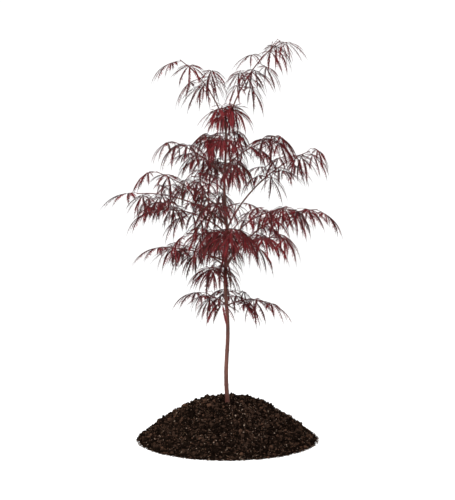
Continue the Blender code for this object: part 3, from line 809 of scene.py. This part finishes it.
def lobe_kind(draw):
    """One finely cut lobe laid flat: its points as (share along, sideways, up) and its triangles."""
    points, faces = [], []
    for step in range(BLADE_STEPS):
        share = step / BLADE_STEPS
        width = blade_width(share)
        points += [(share, -width, BLADE_FOLD * width), (share, 0, 0), (share, width, BLADE_FOLD * width)]
        if step:
            # Two quads, from the three points of the step before
            for a in (len(points) - 6, len(points) - 5):
                faces += [(a, a + 1, a + 4), (a, a + 4, a + 3)]
    tip = len(points)
    points.append((1, 0, 0))
    faces += [(tip - 3, tip - 2, tip), (tip - 2, tip - 1, tip)]
    for side in (-1, 1):
        for index in range(TEETH):
            spot = (index + max(side, 0) / 2 + draw.uniform(-TOOTH_STRAY, TOOTH_STRAY)) / TEETH
            share = FIRST_TOOTH + (LAST_TOOTH - FIRST_TOOTH) * min(max(spot, 0), 1)
            first = len(points)
            points += tooth_points(share, side, draw)
            faces += [(first, first + 1, first + 2), (first, first + 2, first + 3)]
    return np.array(points), np.array(faces)


def bend_lobe(leaf, angle, share, kind, draw):
    """The points of one lobe of a leaf: a flat kind bent along the arc that the rule gives the lobe."""
    out = outward(leaf, angle)
    rise = math.asin(out.z) + math.radians(LOBE_LIFT)
    curl = max(math.radians(LOBE_CURL) * draw.uniform(*LOBE_STIFFNESS), math.radians(STEEPEST) - rise)
    heading = math.atan2(out.y, out.x)
    length = LEAF_LENGTH * leaf.size * share
    flat = np.array((math.cos(heading), math.sin(heading), 0))
    aside = np.array((-math.sin(heading), math.cos(heading), 0))
    run, across, up = kind.T
    across = across * leaf.size * breadth(share)
    up = up * leaf.size * breadth(share)
    slope = rise + curl * run
    middle = np.outer((np.sin(slope) - math.sin(rise)) / curl * length, flat)
    middle[:, 2] = (math.cos(rise) - np.cos(slope)) / curl * length
    middle += np.outer(length * draw.uniform(-LOBE_SWEEP, LOBE_SWEEP) * run**2, aside)
    normal = np.outer(-np.sin(slope), flat)
    normal[:, 2] = np.cos(slope)
    roll = math.radians(draw.uniform(*LOBE_ROLL)) * draw.choice((-1, 1)) * np.minimum(run * 2, 1)
    side = np.cos(roll)[:, None] * aside + np.sin(roll)[:, None] * normal
    over = np.cos(roll)[:, None] * normal - np.sin(roll)[:, None] * aside
    return np.array(leaf.hub) + middle + across[:, None] * side + up[:, None] * over


def leaf_parts(leaf, kinds, draw, mix):
    """The finely cut lobes of one leaf: each blade in two tints, one half darker as painted shade, and its
    teeth in a third.
    """
    parts = []
    leaf_tint = draw.choices(range(len(mix)), mix)[0]
    for angle, share in LOBES + BASE_LOBES:
        points, faces = draw.choice(kinds)
        own = draw.random() < OWN_TINT_SHARE
        tint = draw.choices(range(len(mix)), mix)[0] if own else leaf_tint
        run, across = points[faces].mean(axis=1)[:, :2].T
        # Past the hub, one half of the blade takes the darker tint: painted shade on that side of the fold.
        tints = np.where((across < 0) & (run >= HUB_SHARE), SHADE_HALF_TINT[tint], tint)
        tints[BLADE_FACES:] = TOOTH_TINT[tint]
        parts.append((bend_lobe(leaf, angle, share, points, draw), faces, tints))
    return parts


def stalk_parts(leaf):
    """A leaf's stalk: a thin tube, a little bowed, that ends in a small knob under the hub."""
    middle = leaf.node.lerp(leaf.hub, 0.5) + UP * (STALK_BOW * (leaf.hub - leaf.node).length)
    path = fine_path([leaf.node, middle, leaf.hub], THIN_RING)
    radii = np.linspace(STALK_ROOT, STALK_TIP, len(path)) * leaf.size
    radii[-1] *= STALK_KNOB
    return tube_parts(path, radii, STALK_SIDES)


# ---------- limbs


def bark_relief(seed, grain_scale):
    """How bark changes a limb's radius: a ring at each joint, with two bud scars, and a fine grain."""
    draw = random.Random(seed)
    shift = draw.uniform(0, JOINT_SPACING)
    offset = draw.uniform(0, BARK_NOISE_SPAN)

    def relief(turn, run):
        past = (run + shift) % JOINT_SPACING
        number = np.floor((run + shift) / JOINT_SPACING)
        nearness = np.exp(-(((past - JOINT_SPACING / 2) / JOINT_LENGTH) ** 2))
        facing = np.cos(turn - number * math.pi / 2) ** 2
        ring = nearness * (RING_SWELL + SCAR_SWELL * facing**3)
        circle = [Vector((math.cos(angle), math.sin(angle), 0)) * GRAIN_ROUND for angle in turn.ravel()]
        levels = [UP * (here * grain_scale + offset) for here in run.ravel()]
        grain = np.array([[noise.noise(way + level) for way in circle] for level in levels])
        return 1 + ring + BARK_GRAIN * grain

    return relief


def collared(path, radii):
    """Radii that swell into a collar where a limb leaves its carrier."""
    return radii * (1 + COLLAR_SWELL * np.exp(-runs_of(path) / COLLAR_LENGTH))


def bud_parts(place, heading, rise):
    """A small pointed bud."""
    ahead = direction(heading, rise)
    path = np.array([place + ahead * BUD_LENGTH * share for share, _ in BUD_RINGS])
    return tube_parts(path, BUD_RADIUS * np.array([width for _, width in BUD_RINGS]), BUD_SIDES)


def trunk_parts():
    """The stem, from just under the soil to its tip."""
    heights = np.arange(SOIL_LEVEL - TRUNK_SUNK, TRUNK_TOP, TRUNK_RING)
    path = np.array([trunk_point(height) for height in heights])
    radii = np.array([trunk_radius(max(height, SOIL_LEVEL)) for height in heights])
    return tube_parts(path, radii, TRUNK_SIDES, bark_relief(TRUNK_SEED, TRUNK_GRAIN))


def bough_parts(branch):
    """A branch's bare bough."""
    path = fine_path(limb_paths(branch)[0], BOUGH_RING)
    foot, end, _ = limb_radii(branch)
    radii = collared(path, np.linspace(foot, end, len(path)))
    return tube_parts(path, radii, BOUGH_SIDES, bark_relief(branch.seed, BOUGH_GRAIN))


def shoot_parts(branch):
    """A branch's leafy shoot, without its leaves."""
    path = fine_path(limb_paths(branch)[1], THIN_RING)
    _, start, end = limb_radii(branch)
    radii = np.linspace(start, end, len(path))
    if not crowns_a_limb(branch):
        radii = collared(path, radii)
    return tube_parts(path, radii, SHOOT_SIDES, bark_relief(branch.seed + SHOOT_SEED, BOUGH_GRAIN))


def twig_parts(twig):
    """A short twig and its leaves' stalks."""
    path = fine_path(twig.path, THIN_RING)
    parts = tube_parts(path, np.linspace(TWIG_RADIUS, TWIG_RADIUS * TWIG_TAPER, len(path)), STALK_SIDES)
    for leaf in twig.leaves:
        parts += stalk_parts(leaf)
    return parts


# ---------- soil


def mound_level(radius):
    """The height of the mound's surface, before its lumps, that far from the middle."""
    fall = 1 - (radius / MOUND_RADIUS) ** MOUND_POWER
    dip = PLANTING_DIP * math.exp(-((max(radius - PAD_RADIUS, 0) / DIP_RADIUS) ** 2))
    return MOUND_HEIGHT * fall - dip


def fade_in(past, length):
    """From 0 at the start of a fade to 1 at its end, by how far past the start."""
    return min(1, max(past, 0) / length)


def soil_point(flat, turn):
    """The point of the mound's lumpy surface that far from the middle, at that turn round it."""
    spot = Vector((flat * math.cos(turn), flat * math.sin(turn), mound_level(flat)))
    edge = fade_in(MOUND_RADIUS - flat, RIM_FADE)
    lift = LUMP_HEIGHT * noise.noise(spot / LUMP_SIZE) * fade_in(flat - PAD_RADIUS, PAD_FADE) * edge
    clod = abs(noise.noise(spot / CLOD_SIZE)) ** CLOD_SHARPNESS * CLOD_HEIGHT
    grit = noise.noise(spot / GRIT_SIZE) * GRIT_HEIGHT
    relief = (clod - CLOD_HEIGHT * CLOD_SUNK + grit) * (RIM_RELIEF + (1 - RIM_RELIEF) * edge)
    spot.z = max(spot.z + lift + relief * fade_in(flat - STEM_CLEAR, STEM_FADE), 0)
    return spot


def heap_parts():
    """The mound's surface down to its rim, and its flat underside."""
    points = []
    for ring in range(HEAP_RINGS + 1):
        flat = MOUND_RADIUS * (ring + 0.5) / (HEAP_RINGS + 0.5)
        strength = RIM_WANDER / MOUND_RADIUS * (flat / MOUND_RADIUS) ** WANDER_POWER
        for side in range(HEAP_SIDES):
            turn = math.tau * side / HEAP_SIDES
            wander = strength * noise.noise(Vector((math.cos(turn), math.sin(turn), 0)) * WANDER_WAVES)
            spot = soil_point(flat, turn)
            spot.x *= 1 + wander
            spot.y *= 1 + wander
            if ring == HEAP_RINGS:
                spot.z = 0
            points.append(spot)
    points += [Vector((0, 0, SOIL_LEVEL)), Vector((0, 0, 0))]
    # Its rings run outwards and down, so the faces turn the other way from a tube's
    return [(np.array(points), ring_faces(HEAP_RINGS + 1, HEAP_SIDES)[:, [0, 2, 1]], 0)]


def ball(detail):
    """The points and triangles of a twenty-sided ball, whose faces are split that often."""
    golden = (1 + math.sqrt(5)) / 2
    corners = [(-1, golden, 0), (1, golden, 0), (-1, -golden, 0), (1, -golden, 0)]
    corners += [(z, x, y) for x, y, z in corners] + [(y, z, x) for x, y, z in corners]
    points = [Vector(corner).normalized() for corner in corners]
    faces = []
    for a, b, c in combinations(range(len(points)), 3):
        if all((points[p] - points[q]).length < BALL_EDGE for p, q in ((a, b), (b, c), (a, c))):
            outwards = (points[b] - points[a]).cross(points[c] - points[a]).dot(points[a]) > 0
            faces.append((a, b, c) if outwards else (a, c, b))
    for _ in range(detail):
        middles, finer, first = {}, [], len(points)
        for a, b, c in faces:
            pairs = (frozenset(pair) for pair in ((a, b), (b, c), (c, a)))
            ab, bc, ca = (middles.setdefault(pair, first + len(middles)) for pair in pairs)
            finer += [(a, ab, ca), (b, bc, ab), (c, ca, bc), (ab, bc, ca)]
        points += [(points[a] + points[b]).normalized() for a, b in middles]
        faces = finer
    return points, faces


def lump_kind(draw, detail):
    """An uneven little lump, about one across its radius."""
    points, faces = ball(detail)
    shift = Vector([draw.uniform(0, LUMP_NOISE_SPAN) for _ in range(3)])
    made = [
        point * (1 + sum(depth * noise.noise(point * scale + shift) for scale, depth in LUMP_ROUGHNESS))
        for point in points
    ]
    return np.array(made), np.array(faces)


def scatter(draw, kinds, count, radii, sunk, mix):
    """Lumps strewn evenly over the mound, each turned, stretched and sunk a little at random."""
    least, largest = radii
    parts = []
    for _ in range(count):
        turn = draw.uniform(0, math.tau)
        size = least + (largest - least) * draw.random() ** SMALL_ONES
        flat = (MOUND_RADIUS + RIM_SPILL - RIM_KEEP * size) * math.sqrt(draw.random())
        if flat < TRUNK_RADIUS + FLARE + size:
            continue
        spot = np.array(soil_point(min(flat, MOUND_RADIUS), turn))
        spot[:2] = flat * math.cos(turn), flat * math.sin(turn)
        points, faces = draw.choice(kinds)
        stretch = np.array([draw.uniform(*span) for span in LUMP_STRETCH])
        axis = Vector([draw.gauss(0, 1) for _ in range(3)])
        spin = np.array(axis.to_track_quat("X", "Z").to_matrix())
        placed = (points * stretch * size) @ spin.T + spot
        placed[:, 2] += size * (0.5 - sunk)
        placed[:, 2] -= min(placed[:, 2].min(), 0)
        parts.append((placed, faces, draw.choices(range(len(mix)), mix)[0]))
    return parts


def fibre_parts(draw):
    """Thin bits of root and bark that lie on the soil."""
    parts = []
    for _ in range(FIBRES):
        flat = MOUND_RADIUS * math.sqrt(draw.random()) * FIBRE_REACH
        turn = draw.uniform(0, math.tau)
        path = [soil_point(flat, turn) + UP * FIBRE_LIFT]
        heading, length = draw.uniform(0, 360), draw.uniform(*FIBRE_LENGTH)
        for _ in range(FIBRE_STEPS):
            heading += draw.uniform(-FIBRE_BEND, FIBRE_BEND)
            place = path[-1] + direction(heading, 0) * length / FIBRE_STEPS
            reach = math.hypot(place.x, place.y)
            if reach > MOUND_RADIUS:
                break
            path.append(soil_point(reach, math.atan2(place.y, place.x)) + UP * FIBRE_LIFT)
        if len(path) > 2:
            fine = fine_path(path, THIN_RING)
            radii = np.full(len(fine), FIBRE_RADIUS * draw.uniform(*FIBRE_VARIES))
            parts += tube_parts(fine, radii, FIBRE_SIDES)
    return parts


# ---------- materials


def plain_material(name, colour, roughness, gloss):
    """A surface of one colour."""
    material = bpy.data.materials.new(name)
    material.use_nodes = True
    shader = material.node_tree.nodes["Principled BSDF"]
    shader.inputs["Base Color"].default_value = (*colour, 1)
    shader.inputs["Roughness"].default_value = roughness
    shader.inputs["Specular IOR Level"].default_value = gloss
    return material


def mottled_material(name, colours, finish):
    """A surface whose colour wanders between a few colours, with a fine bump of the same grain."""
    material = plain_material(name, colours[0], finish.roughness, finish.gloss)
    nodes, links = material.node_tree.nodes, material.node_tree.links
    shader = nodes["Principled BSDF"]
    place = nodes.new("ShaderNodeTexCoord")
    mapping = nodes.new("ShaderNodeMapping")
    mapping.inputs["Scale"].default_value = finish.stretch
    links.new(place.outputs["Object"], mapping.inputs["Vector"])
    grain = nodes.new("ShaderNodeTexNoise")
    grain.inputs["Scale"].default_value = finish.scale
    grain.inputs["Detail"].default_value = MOTTLE_DETAIL
    grain.inputs["Roughness"].default_value = MOTTLE_ROUGHNESS
    links.new(mapping.outputs["Vector"], grain.inputs["Vector"])
    ramp = nodes.new("ShaderNodeValToRGB")
    spots = ramp.color_ramp.elements
    while len(spots) < len(colours):
        spots.new(0.5)
    start, span = MOTTLE_RANGE
    for index, colour in enumerate(colours):
        spots[index].position = start + span * index / (len(colours) - 1)
        spots[index].color = (*colour, 1)
    links.new(grain.outputs["Fac"], ramp.inputs["Fac"])
    links.new(ramp.outputs["Color"], shader.inputs["Base Color"])
    relief = nodes.new("ShaderNodeBump")
    relief.inputs["Strength"].default_value = finish.bump
    relief.inputs["Distance"].default_value = finish.depth
    links.new(grain.outputs["Fac"], relief.inputs["Height"])
    links.new(relief.outputs["Normal"], shader.inputs["Normal"])
    return material


# ---------- the scene


def add_branch(room, branch, kinds, leaves, stems):
    """Grows one branch, and adds its parts to the leaves, and to the shoots, twigs and stalks."""
    draw = random.Random(branch.seed + TINT_SEED)
    found = grow(room, branch)
    twigs = grow_finer(room, branch, found)
    stems += shoot_parts(branch)
    for leaf in found:
        stems += stalk_parts(leaf)
    for twig in twigs:
        stems += twig_parts(twig)
    stems += bud_parts(*along(limb_paths(branch)[1], branch.leafy))
    for leaf in found + [leaf for twig in twigs for leaf in twig.leaves]:
        leaves += leaf_parts(leaf, kinds, draw, branch.mix)


def make_tree():
    """The stem, the boughs, and a piece of leaves and one of twigs for each tier."""
    leaf_tints = [
        plain_material("leaf_" + name, colour, LEAF_ROUGHNESS, LEAF_GLOSS) for name, colour in TINTS.items()
    ]
    bark = mottled_material("bark", BARK_COLOURS, BARK_FINISH)
    stalk = mottled_material("stalk", STALK_COLOURS, STALK_FINISH)
    room = Room()
    kind_draw = random.Random(LOBE_SEED)
    kinds = [lobe_kind(kind_draw) for _ in range(LOBE_KINDS)]
    slim_kinds = [(points * (1, SLIMNESS, SLIMNESS), faces) for points, faces in kinds]
    join("trunk_bark", ["trunk"], trunk_parts(), [bark])
    bare = [branch for branch in BRANCHES if branch.bare]
    boughs = [part for branch in bare for part in bough_parts(branch)]
    join("bough_bark", ["bough_" + branch.name for branch in bare], boughs, [bark])
    for tier in TIERS:
        branches = [branch for branch in BRANCHES if branch.name.split("_")[0] in tier.split("_")]
        masses = ["foliage_" + branch.name for branch in branches]
        leaves, stems = [], []
        for branch in branches:
            add_branch(room, branch, slim_kinds if tier == SLIM_TIER else kinds, leaves, stems)
        join("leaves_" + tier, masses, leaves, leaf_tints, smooth=False)
        join("twigs_" + tier, masses, stems, [stalk])


def make_soil():
    """The heap, the loose lumps on it, and thin fibres."""
    # The heap's near-black earth is painted shade in the gaps between the crumbs
    earth = mottled_material("earth", SHADED_EARTH_COLOURS, EARTH_FINISH)
    crumbs = [mottled_material(name, colours, CRUMB_FINISH) for name, colours in CRUMB_COLOURS.items()]
    straw = plain_material("fibre", FIBRE_COLOUR, FIBRE_ROUGHNESS, SOIL_GLOSS)
    draw = random.Random(SOIL_SEED)
    kinds = [[lump_kind(draw, detail) for _ in range(LUMP_KINDS)] for detail in (0, 1)]
    join("soil_heap", ["soil_mound"], heap_parts(), [earth])
    for name, detail, count, radii, sunk, mix in LUMPS:
        parts = scatter(draw, kinds[detail], count, radii, sunk, mix)
        join(name, [], parts, crumbs, smooth=detail > 0)
    join("soil_fibres", [], fibre_parts(draw), [straw])


def aim(seer, place, target):
    """Places a lamp or camera so that it faces its target."""
    seer.location = place
    seer.rotation_euler = (Vector(target) - Vector(place)).to_track_quat("-Z", "Y").to_euler()


def make_floor():
    """A pale floor just under the mound."""
    mesh = bpy.data.meshes.new("floor")
    corners = [(x * FLOOR_HALF, y * FLOOR_HALF, 0) for x, y in ((-1, -1), (1, -1), (1, 1), (-1, 1))]
    mesh.from_pydata(corners, [], [(0, 1, 2, 3)])
    floor = put("floor", mesh)
    mesh.materials.append(plain_material("pale_floor", FLOOR_COLOUR, 1.0, 0.0))
    floor.location.z = -FLOOR_DROP


def make_studio():
    """The floor, soft light from all round and a camera level with the crown."""
    make_floor()
    world = bpy.data.worlds.new("studio")
    world.use_nodes = True
    backdrop = world.node_tree.nodes["Background"]
    backdrop.inputs["Color"].default_value = (1, 1, 1, 1)
    backdrop.inputs["Strength"].default_value = SKY_STRENGTH
    bpy.context.scene.world = world
    for name, place, target, size, energy in LIGHTS:
        lamp = bpy.data.lights.new(name, "AREA")
        lamp.shape = "DISK"
        lamp.size = size
        lamp.energy = energy
        aim(put(name, lamp), place, target)
    bpy.context.scene.view_settings.view_transform = "Standard"
    lens = bpy.data.cameras.new("camera")
    lens.sensor_fit = "VERTICAL"
    lens.sensor_height = SENSOR_HEIGHT
    lens.lens = CAMERA_LENS
    camera = put("camera", lens)
    aim(camera, CAMERA_PLACE, CAMERA_TARGET)
    bpy.context.scene.camera = camera


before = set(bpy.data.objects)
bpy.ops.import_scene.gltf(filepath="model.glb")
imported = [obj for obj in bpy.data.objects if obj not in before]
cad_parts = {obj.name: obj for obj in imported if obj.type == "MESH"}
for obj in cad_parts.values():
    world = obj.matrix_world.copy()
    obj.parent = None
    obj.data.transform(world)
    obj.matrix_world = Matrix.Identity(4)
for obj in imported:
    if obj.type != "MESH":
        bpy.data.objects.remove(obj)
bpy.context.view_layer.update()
make_studio()
make_tree()
make_soil()
